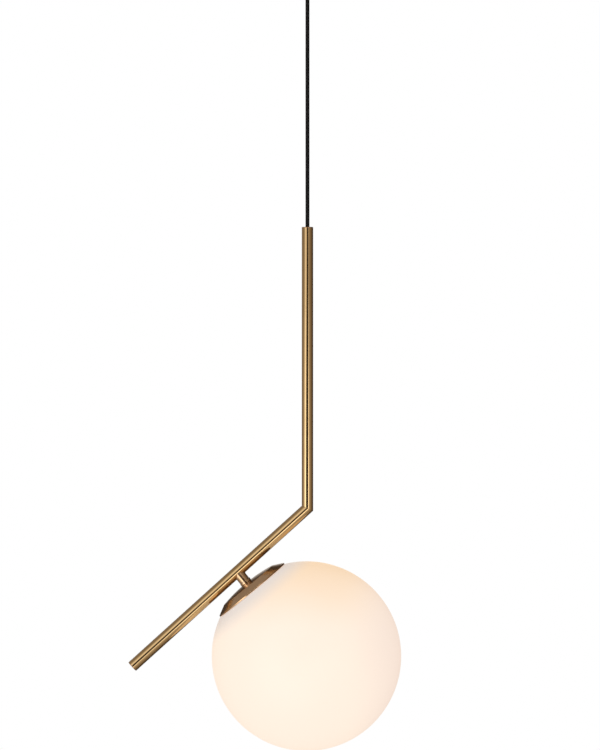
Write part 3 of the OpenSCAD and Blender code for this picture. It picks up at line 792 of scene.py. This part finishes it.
@dataclass
class Rod:
    """The upright stem, the sloping arm mitred to its foot, and the pieces that close their ends."""

    radius: float = field(default_factory=lambda: LAYOUT.rod_radius)
    wall: float = 1.0 * MM
    lip: float = 1.2 * MM
    spigot: float = 11.2 * MM
    plug: float = 7.2 * MM
    edge: float = 0.4 * MM
    seam: float = 0.22 * MM
    segments: int = 96

    def tube(self, start: float, end: float) -> bmesh.types.BMesh:
        """A tube along Z with its end edges broken."""
        broken = self.seam * 0.4
        return turn(rounded([
            Corner(self.radius - self.wall, start), Corner(self.radius, start),
            Corner(self.radius, end, broken), Corner(self.radius - self.wall, end, broken),
        ], 2), self.segments)

    def mitred(self, place: Matrix, other: Vector, reach: float) -> bmesh.types.BMesh:
        """A tube cut on the mitre at the bend.

        Args:
            place: Frame at the bend, with Z along the tube.
            other: Direction of the other tube from the bend.
            reach: How far the tube runs from the bend.

        Returns:
            The tube's mesh in that frame.
        """
        bm = self.tube(-2 * self.radius, reach)
        normal = (Vector((0, 0, 1)) - place.inverted().to_3x3() @ other).normalized()
        geom = list(bm.verts) + list(bm.edges) + list(bm.faces)
        bmesh.ops.bisect_plane(bm, geom=geom, plane_co=(0, 0, 0), plane_no=normal, clear_inner=True)
        rims = [e for e in bm.edges if e.is_boundary]
        bmesh.ops.bridge_loops(bm, edges=rims)
        middle_r = self.radius - self.wall / 2
        outer = edges_near(bm, lambda p: abs(p.dot(normal)) < 1e-6 and p.xy.length > middle_r)
        bmesh.ops.bevel(bm, geom=outer, offset=self.seam, segments=3, profile=0.5, affect="EDGES", material=-1)
        bmesh.ops.recalc_face_normals(bm, faces=bm.faces)
        return bm

    def build(self) -> None:
        """Makes stem, arm and the two end pieces."""
        up = facing(LAYOUT.bend, Vector((0, 0, 1)))
        stem = self.mitred(up, LAYOUT.arm_way, LAYOUT.stem_top - self.lip - LAYOUT.bend.z)
        Piece("rod_stem", "pendant", TUBE_BRASS, ("stem",)).join(stem, up)
        arm = self.mitred(LAYOUT.arm, Vector((0, 0, 1)), LAYOUT.arm_length - self.lip)
        Piece("rod_arm", "pendant", TUBE_BRASS, ("arm",)).join(arm, LAYOUT.arm)
        self.stem_end()
        self.arm_end()

    def stem_end(self) -> None:
        """The turned piece that closes the stem's top, with a smooth mouth for the flex."""
        r, mouth = self.radius, 2.4 * MM
        bore_r = r - self.wall
        outline = rounded([
            Corner(mouth, 0, 0.5 * MM), Corner(r - self.edge, 0, 0.15 * MM), Corner(r, self.edge, 0.15 * MM),
            Corner(r, self.lip, 0.08 * MM), Corner(bore_r, self.lip), Corner(bore_r, self.spigot, 0.3 * MM),
            Corner(mouth, self.spigot, 0.3 * MM),
        ])
        place = LAYOUT.down(LAYOUT.stem_top)
        Piece("stem_top_cap", "pendant", FACE_BRASS, ("stem_cap",)).join(turn(outline, self.segments), place)

    def arm_end(self) -> None:
        """The turned plug that closes the arm's end, its face very slightly crowned."""
        r = self.radius
        bore_r = r - self.wall
        sunk = 0.12 * MM
        crown = [Corner(r * share, -sunk * (1 - share * share)) for share in (0, 0.3, 0.6, 0.85)]
        outline = rounded(crown + [
            Corner(r - self.edge, 0, 0.12 * MM), Corner(r, self.edge, 0.12 * MM),
            Corner(r, self.lip, 0.08 * MM), Corner(bore_r, self.lip), Corner(bore_r, self.plug, 0.3 * MM),
            Corner(0, self.plug),
        ])
        end = LAYOUT.bend + LAYOUT.arm_way * (LAYOUT.arm_length - sunk)
        place = facing(end, -LAYOUT.arm_way)
        Piece("arm_plug", "pendant", FACE_BRASS, ("arm_end_plug",)).join(turn(outline, self.segments), place)


# ---- Post, cap and globe ----


@dataclass
class GlobeHead:
    """The post under the arm, the dished cap and the opal globe that screws into it."""

    post_r: float = 5.8 * MM
    post_end: float = 12.1 * MM
    collar_r: float = 6.2 * MM
    collar_h: float = 2.8 * MM
    cap_top: float = 15.1 * MM
    dome_r: float = 33.0 * MM
    dome_h: float = 3.2 * MM
    cap_r: float = 44.0 * MM
    rim: float = 25.4 * MM
    rim_t: float = 1.4 * MM
    recess_r: float = 29.8 * MM
    recess_top: float = 19.0 * MM
    neck_r: float = 29.5 * MM
    neck_wall: float = 3.5 * MM
    neck_top: float = 20.5 * MM
    shoulder: float = 25.8 * MM
    glass: float = 3.0 * MM
    globe_r: float = 100.0 * MM
    braze: float = 0.9 * MM
    bead_h: float = 0.9 * MM
    bead: tuple[float, ...] = (22.2 * MM, 22.8 * MM, 23.8 * MM, 24.4 * MM)

    def post(self) -> None:
        """The post, its head shaped to the arm with a brazed fillet round it."""
        arm_r = LAYOUT.rod_radius
        bm = turn(rounded([
            Corner(4.0 * MM, 0), Corner(self.post_r, 0),
            Corner(self.post_r, self.post_end, 0.25 * MM), Corner(4.0 * MM, self.post_end),
        ], 3), 96)
        straight = 7.2 * MM
        levels = {straight: 1.0, 6.3 * MM: 0.75, 5.4 * MM: 0.5, 4.5 * MM: 0.25}
        for height in levels:
            geom = list(bm.verts) + list(bm.edges) + list(bm.faces)
            bmesh.ops.bisect_plane(bm, geom=geom, plane_co=(0, 0, height), plane_no=(0, 0, 1))
        levels[0.0] = 0.0
        for vert in bm.verts:
            share = next((s for z, s in levels.items() if abs(vert.co.z - z) < 1e-6), None)
            if share is None or vert.co.xy.length < self.post_r - 0.1 * MM:
                continue
            seat = math.sqrt(max(arm_r ** 2 - vert.co.y ** 2, 0.0))
            top = seat - 0.25 * MM
            flare = self.braze * (1 - share) ** 2 * 0.55
            vert.co.z = top + (straight - top) * share
            vert.co.x *= 1 + flare / self.post_r
            vert.co.y *= 1 + flare * 0.2 / self.post_r
        bmesh.ops.recalc_face_normals(bm, faces=bm.faces)
        Piece("head_post", "pendant", FACE_BRASS, ("post",), math.radians(50)).join(bm, LAYOUT.head)

    def collar(self) -> None:
        """The loose ring at the post's foot."""
        top = self.cap_top - self.collar_h
        outline = rounded([
            Corner(5.1 * MM, top, 0.1 * MM), Corner(self.collar_r, top, 0.45 * MM),
            Corner(self.collar_r, self.cap_top, 0.35 * MM), Corner(5.1 * MM, self.cap_top, 0.1 * MM),
        ])
        Piece("head_collar", "pendant", FACE_BRASS, ("post_collar",)).join(turn(outline, 96), LAYOUT.head)

    def cap(self) -> None:
        """The dished cap: a flat seat, a low dome, a sloping edge and a thin rim."""
        sphere_r = (self.dome_r ** 2 + self.dome_h ** 2) / (2 * self.dome_h)
        middle = Corner(0.0, self.cap_top + sphere_r, sphere_r)
        seat_r = 6.4 * MM
        inner_a, outer_a = (math.pi - math.asin(r / sphere_r) for r in (seat_r, self.dome_r))
        dome = arc(middle, inner_a, outer_a, 18)
        edge_z = self.cap_top + self.dome_h
        dome[-1] = Corner(self.dome_r, edge_z, 1.2 * MM)
        outline = rounded([
            Corner(5.1 * MM, self.cap_top), *dome,
            Corner(self.cap_r, self.rim - self.rim_t, 0.6 * MM), Corner(self.cap_r, self.rim, 0.4 * MM),
            Corner(self.recess_r, self.rim, 0.3 * MM), Corner(self.recess_r, self.recess_top, 0.3 * MM),
            Corner(5.1 * MM, self.recess_top),
        ], 4)
        Piece("dished_cap", "pendant", FACE_BRASS, ("globe_cap",)).join(turn(outline, 160), LAYOUT.head)

    def gasket(self) -> None:
        """The silicone ring on the globe's neck."""
        low, high = self.recess_top + 0.1 * MM, self.recess_top + 1.4 * MM
        inner = self.neck_r - self.neck_wall
        corners = [Corner(inner, low), Corner(self.neck_r, low), Corner(self.neck_r, high), Corner(inner, high)]
        outline = rounded([Corner(c.r, c.z, 0.45 * MM) for c in corners])
        Piece("neck_ring", "gasket", SILICONE, ("globe_gasket",)).join(turn(outline, 96), LAYOUT.head)

    def globe(self) -> None:
        """The blown globe, its shoulder running into a moulded screw neck with one thread bead."""
        reach = LAYOUT.globe_reach
        outer_a = math.acos((reach - self.shoulder) / self.globe_r)
        inner_r = self.globe_r - self.glass
        inner_a = math.acos((reach - self.shoulder - self.glass) / inner_r)
        outer = arc(Corner(0.0, reach, self.globe_r), math.pi - outer_a, 0.0, 110)
        inner = arc(Corner(0.0, reach, inner_r), 0.0, math.pi - inner_a, 100)
        outer[0] = Corner(outer[0].r, outer[0].z, 0.6 * MM)
        outer[-1] = Corner(0.0, outer[-1].z)
        inner[0] = Corner(0.0, inner[0].z)
        mouth_r = self.neck_r - self.neck_wall
        root_r = self.neck_r - self.bead_h
        outline = rounded([
            Corner(mouth_r, self.neck_top, 0.8 * MM), Corner(root_r, self.neck_top, 0.6 * MM),
            Corner(root_r, self.bead[0], 0.3 * MM), Corner(self.neck_r, self.bead[1], 0.25 * MM),
            Corner(self.neck_r, self.bead[2], 0.25 * MM), Corner(root_r, self.bead[3], 0.3 * MM),
            Corner(root_r, self.shoulder, 0.3 * MM), *outer, *inner,
            Corner(mouth_r, self.shoulder + self.glass, 1.2 * MM),
        ], 4)
        glow = facing(LAYOUT.globe_middle, Vector((0, 0, 1)))
        bm = turn(outline, 144)
        bmesh.ops.transform(bm, matrix=glow.inverted() @ LAYOUT.head, verts=bm.verts)
        Piece("opal_globe", "globe", GLOBE_GLASS, ("globe",)).join(bm, glow)

    def build(self) -> None:
        """Makes the head from the post to the globe."""
        self.post()
        self.collar()
        self.cap()
        self.gasket()
        self.globe()
        dress_all(dict.fromkeys(("nipple", "cap_washer", "cap_nut"), ZINC), LAYOUT.head)


# ---- Lampholder and bulb ----


@dataclass
class Lampholder:
    """The small screw lampholder on the end of the hollow tube."""

    def build(self) -> None:
        """Gives each of its pieces its finish."""
        finishes = {
            "holder_cap": ZINC, "holder_core": CERAMIC, "holder_body": NYLON, "holder_shell": BRIGHT_BRASS,
            "holder_clamps": BRIGHT_BRASS, "holder_screws": ZINC, "contact_spring": ZINC,
            "contact_plunger": BRIGHT_BRASS,
        }
        dress_all(finishes, LAYOUT.head)


@dataclass
class Bulb:
    """The round opal bulb with its screw cap and its inner board."""

    def build(self) -> None:
        """Gives each of its pieces its finish."""
        finishes = {
            "bulb_contact": NICKEL, "bulb_insulator": BLACK_GLASS, "bulb_screw_cap": NICKEL,
            "bulb_housing": NYLON, "driver_board": GREEN_BOARD, "led_board": WHITE_BOARD,
            "led_chips": PHOSPHOR,
        }
        dress_all(finishes, LAYOUT.head)
        low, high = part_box("bulb_envelope")
        dress("bulb_envelope", BULB_GLASS, facing((low + high) / 2, Vector((0, 0, 1))))


# ---- Ceiling fitting ----


@dataclass
class CeilingFitting:
    """The bracket on the ceiling, the canopy over it, the cord grip and the terminals inside."""

    canopy_r: float = 50.0 * MM
    depth: float = 28.0 * MM
    wall: float = 1.0 * MM
    edge: float = 5.0 * MM
    grip_r: float = 7.0 * MM
    flange_h: float = 2.5 * MM
    thread_r: float = 5.0 * MM

    def canopy(self) -> None:
        """The spun canopy with its rounded lower edge and a turned-in upper lip."""
        r, h, w = self.canopy_r, self.depth, self.wall
        hole = self.thread_r + 0.1 * MM
        outline = rounded([
            Corner(hole, h, 0.1 * MM), Corner(r, h, self.edge), Corner(r, 0, 0.35 * MM),
            Corner(r - w, 0, 0.35 * MM), Corner(r - w, h - w, self.edge - w), Corner(hole, h - w, 0.1 * MM),
        ], 10)
        piece = Piece("spun_canopy", "ceiling_fitting", FACE_BRASS, ("canopy",))
        piece.join(turn(outline, 160), LAYOUT.down(0))

    def side_screws(self) -> None:
        """The two knurled screws in the canopy's side."""
        both = bmesh.new()
        low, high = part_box("canopy_screws")
        middle = (low.z + high.z) / 2
        for side in (1, -1):
            bm = turn(rounded([
                Corner(0, -7 * MM), Corner(2 * MM, -7 * MM, 0.3 * MM), Corner(2 * MM, 0),
                Corner(4 * MM, 0, 0.3 * MM), Corner(4 * MM, 2.2 * MM, 0.3 * MM),
                Corner(3.3 * MM, 2.8 * MM, 0.4 * MM), Corner(0, 2.8 * MM),
            ], 3), 72)
            rim = 3.9 * MM
            for vert in bm.verts:
                ridge = round(math.atan2(vert.co.y, vert.co.x) / math.tau * 72) % 2
                if vert.co.xy.length > rim and ridge:
                    vert.co.xy = vert.co.xy * 0.96
            place = facing(Vector((side * self.canopy_r, 0, middle)), Vector((side, 0, 0)))
            bmesh.ops.transform(bm, matrix=place, verts=bm.verts)
            part = bpy.data.meshes.new("screw")
            bm.to_mesh(part)
            bm.free()
            both.from_mesh(part)
            bpy.data.meshes.remove(part)
        bmesh.ops.recalc_face_normals(both, faces=both.faces)
        piece = Piece("knurled_screws", "ceiling_fitting", BRIGHT_BRASS, ("canopy_screws",))
        piece.join(both, Matrix.Identity(4))

    def grip(self) -> None:
        """The cord grip: a flanged threaded body and the tapered nut that closes on the flex."""
        flange = self.depth + self.flange_h
        bore = 2.4 * MM
        body = rounded([
            Corner(bore, self.depth - 10 * MM, 0.3 * MM), Corner(self.thread_r, self.depth - 10 * MM, 0.4 * MM),
            Corner(self.thread_r, self.depth), Corner(self.grip_r + 1 * MM, self.depth, 0.2 * MM),
            Corner(self.grip_r + 1 * MM, flange, 0.7 * MM), Corner(self.thread_r, flange),
            Corner(self.thread_r, flange + 6 * MM, 0.3 * MM), Corner(4 * MM, flange + 6 * MM),
            Corner(bore, flange + 3 * MM, 0.2 * MM),
        ])
        Piece("grip_flange", "ceiling_fitting", FACE_BRASS, ("grip_body",)).join(turn(body, 96), LAYOUT.down(0))
        foot = -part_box("grip_cap")[0].z
        cap = rounded([
            Corner(self.thread_r + 0.1 * MM, flange, 0.1 * MM), Corner(self.grip_r, flange, 0.3 * MM),
            Corner(self.grip_r, flange + 8 * MM, 1.5 * MM), Corner(4.6 * MM, foot - 0.4 * MM, 0.3 * MM),
            Corner(4.2 * MM, foot, 0.2 * MM), Corner(3.6 * MM, foot, 0.2 * MM), Corner(bore, foot - 1.5 * MM),
            Corner(bore, flange + 12.3 * MM), Corner(3.8 * MM, flange + 12.3 * MM),
            Corner(3.8 * MM, flange + 6.5 * MM), Corner(self.thread_r + 0.1 * MM, flange + 6.5 * MM),
        ])
        Piece("grip_nose", "ceiling_fitting", FACE_BRASS, ("grip_cap",)).join(turn(cap, 96), LAYOUT.down(0))

    def build(self) -> None:
        """Makes what shows and gives the rest its finish."""
        self.canopy()
        self.side_screws()
        self.grip()
        finishes = {
            "ceiling_bracket": ZINC, "terminal_block": NYLON, "terminal_tubes": BRIGHT_BRASS,
            "terminal_screws": ZINC, "block_screws": ZINC, "earth_screw": BRIGHT_BRASS, "grip_washer": ZINC,
            "grip_nut": BRIGHT_BRASS, "grip_collet": NYLON, "flex_tail": FLEX, "supply_live_core": LIVE,
            "supply_neutral_core": NEUTRAL, "supply_earth_core": EARTH, "earth_link": EARTH,
        }
        dress_all(finishes, LAYOUT.down(0))


@dataclass
class RodWiring:
    """The flex and its cores inside the rod, and the sleeve that carries the lamp's weight."""

    def build(self) -> None:
        """Gives each piece its finish."""
        dress("flex_anchor", ZINC, LAYOUT.down(0))
        dress("inner_flex", FLEX, LAYOUT.down(0))
        dress_all({"live_core": LIVE, "neutral_core": NEUTRAL, "earth_core": EARTH}, LAYOUT.head)


# ---- Studio ----


Stop = tuple[float, float, float]  # angle from the camera in degrees, level, warmth


def grey(level: float, warmth: float = 0.0) -> tuple[float, float, float]:
    """A level of light, made warmer as warmth rises to 1."""
    return (level, level * (1 - 0.45 * warmth), level * (1 - 0.85 * warmth))


@dataclass
class Studio:
    """Camera, pale floor, white surroundings and the soft boxes that the brass reflects."""

    distance: float = 5.5
    picture_height: float = 0.792
    sensor: float = 36.0
    middle_x: float = -7.9 * MM
    middle_drop: float = 156.3 * MM
    floor_z: float = -8.0
    dome_radius: float = 1.5
    dome_gain: float = 3.0
    upper: tuple[Stop, ...] = (
        (-180, 0.70, 0.1), (-172, 0.55, 0.1), (-166, 0.08, 0.6), (-150, 0.06, 0.6),
        (-136, 0.46, 0.2), (-95, 0.34, 0.35), (-66, 0.52, 0.2), (-50, 0.95, 0.1),
        (-34, 1.60, 0.05), (-24, 1.10, 0.15), (-14, 0.60, 0.3), (-11, 0.01, 1.0),
        (15, 0.01, 1.0), (18, 0.62, 0.25), (30, 0.58, 0.2), (40, 0.42, 0.3),
        (70, 0.30, 0.4), (100, 0.15, 0.5), (140, 0.06, 0.7), (165, 0.05, 0.6),
        (172, 0.55, 0.1), (180, 0.70, 0.1),
    )
    lower: tuple[Stop, ...] = (
        (-180, 0.70, 0.1), (-172, 0.55, 0.1), (-166, 0.08, 0.6), (-150, 0.06, 0.6),
        (-128, 0.30, 0.3), (-95, 0.42, 0.3), (-68, 0.95, 0.1), (-52, 2.3, 0.0),
        (-34, 3.0, 0.0), (-31, 1.4, 0.1), (-29, 0.02, 1.0), (-5, 0.01, 1.0),
        (14, 0.01, 1.0), (16, 2.3, 0.1), (27, 2.5, 0.05), (34, 0.75, 0.2),
        (70, 0.40, 0.35), (100, 0.17, 0.5), (140, 0.06, 0.7), (165, 0.05, 0.6),
        (172, 0.55, 0.1), (180, 0.70, 0.1),
    )

    def camera(self) -> None:
        """A long lens level with the upper part of the globe, looking along Y."""
        data = bpy.data.cameras.new("camera")
        data.sensor_width = self.sensor
        data.lens = self.sensor * self.distance / self.picture_height
        data.clip_end = 50.0
        made = bpy.data.objects.new("camera", data)
        made.location = (self.middle_x, -self.distance, LAYOUT.stem_top - self.middle_drop)
        made.rotation_euler = (math.pi / 2, 0.0, 0.0)
        bpy.context.scene.collection.objects.link(made)
        bpy.context.scene.camera = made
        bpy.context.scene.view_settings.view_transform = "Standard"

    def floor(self) -> None:
        """A plain pale floor well below the light."""
        bm = bmesh.new()
        bmesh.ops.create_grid(bm, x_segments=1, y_segments=1, size=60.0)
        bmesh.ops.translate(bm, verts=bm.verts, vec=(0, 0, self.floor_z))
        mesh = bpy.data.meshes.new("floor")
        bm.to_mesh(mesh)
        bm.free()
        made = bpy.data.objects.new("floor", mesh)
        bpy.context.scene.collection.objects.link(made)
        material = bpy.data.materials.new("floor_paper")
        material.use_nodes = True
        tree = Tree(material.node_tree)
        fleck = tree.noise(tree.add("ShaderNodeTexCoord", {}, {}).out("Object"), 3.0, 2.0)
        color = tree.mix(fleck, (0.96, 0.96, 0.96), (0.93, 0.93, 0.93))
        inputs = {
            "Base Color": color, "Roughness": 0.9, "Emission Color": (1, 1, 1, 1), "Emission Strength": 0.75,
            "Specular IOR Level": 0.0,
        }
        shader = tree.add("ShaderNodeBsdfPrincipled", {}, inputs)
        tree.add("ShaderNodeOutputMaterial", {}, {"Surface": shader})
        mesh.materials.append(material)
        made.visible_diffuse = False

    def surroundings(self) -> None:
        """White all round for the eye, and softer light on the pieces."""
        world = bpy.data.worlds.new("studio")
        bpy.context.scene.world = world
        world.use_nodes = True
        tree = Tree(world.node_tree)
        seen = tree.add("ShaderNodeLightPath", {}, {}).out("Is Camera Ray")
        strength = seen * 0.65 + 0.35
        shader = tree.add("ShaderNodeBackground", {}, {"Color": (1, 1, 1, 1), "Strength": strength})
        tree.add("ShaderNodeOutputWorld", {}, {"Surface": shader})
        world.cycles_visibility.glossy = False

    def dome(self) -> None:
        """The soft boxes, as light on a dome that only glossy surfaces see."""
        bm = bmesh.new()
        bmesh.ops.create_uvsphere(bm, u_segments=96, v_segments=48, radius=self.dome_radius)
        bmesh.ops.reverse_faces(bm, faces=bm.faces)
        middle = Vector((0, 0, LAYOUT.stem_top - self.middle_drop))
        bmesh.ops.translate(bm, verts=bm.verts, vec=middle)
        for face in bm.faces:
            face.smooth = True
        mesh = bpy.data.meshes.new("soft_boxes")
        bm.to_mesh(mesh)
        bm.free()
        made = bpy.data.objects.new("soft_boxes", mesh)
        bpy.context.scene.collection.objects.link(made)
        made.visible_camera = False
        made.visible_diffuse = False
        made.visible_shadow = False
        made.visible_transmission = False
        mesh.materials.append(self.dome_light(middle))

    def dome_light(self, middle: Vector) -> bpy.types.Material:
        """The light of the dome, by the angle from the camera's side, with ramps for high and low.

        Args:
            middle: The middle of the dome.

        Returns:
            The glowing material.
        """
        material = bpy.data.materials.new("soft_box_light")
        material.use_nodes = True
        tree = Tree(material.node_tree)
        x, y, z = tree.split(tree.add("ShaderNodeTexCoord", {}, {}).out("Object"))
        rise = z - middle.z
        across = (x * x + rise * rise) ** 0.5
        turned = tree.add("ShaderNodeMath", {"operation": "ARCTAN2"}, {0: across, 1: -y}) / math.tau
        right = (x / (across + 1e-4)).ramp(-0.3, 0.3)
        top, foot = LAYOUT.stem_top - 0.02, LAYOUT.bend.z + 0.02
        height = {"Value": z, "From Min": top, "From Max": foot}
        lowness = tree.add("ShaderNodeMapRange", {"clamp": True}, height)
        sides = []
        for share in (0.5 - turned, turned + 0.5):
            ramps = []
            for stops in (self.upper, self.lower):
                placed = [((a + 180) / 360, grey(level / self.dome_gain, warmth)) for a, level, warmth in stops]
                ramps.append(tree.add("ShaderNodeValToRGB", {"stops": placed}, {"Fac": share}))
            sides.append(tree.mix(lowness, *ramps))
        level = tree.mix(right, *sides)
        glow = tree.add("ShaderNodeEmission", {}, {"Color": level, "Strength": self.dome_gain})
        tree.add("ShaderNodeOutputMaterial", {}, {"Surface": glow})
        return material

    def front_light(self) -> None:
        """One broad lamp before the light that only matt surfaces take, for a little shape on the globe."""
        data = bpy.data.lights.new("front_box", "AREA")
        data.shape = "DISK"
        data.size = 1.2
        data.energy = 2.0
        made = bpy.data.objects.new("front_box", data)
        made.location = (-0.9, -2.2, 0.5)
        aim = Vector((0, 0, -0.6)) - made.location
        made.rotation_euler = aim.to_track_quat("-Z", "Y").to_euler()
        made.visible_glossy = False
        made.visible_camera = False
        bpy.context.scene.collection.objects.link(made)

    def build(self) -> None:
        """Sets the camera and the studio up."""
        self.camera()
        self.floor()
        self.surroundings()
        self.dome()
        self.front_light()


def main() -> None:
    """Builds the light from the camera and the flex to the fitting."""
    Studio().build()
    HangingFlex().build()
    for assembly in (Rod(), GlobeHead(), Lampholder(), Bulb(), CeilingFitting(), RodWiring()):
        log.info("building %s", type(assembly).__name__)
        assembly.build()


if __name__ == "__main__":
    main()
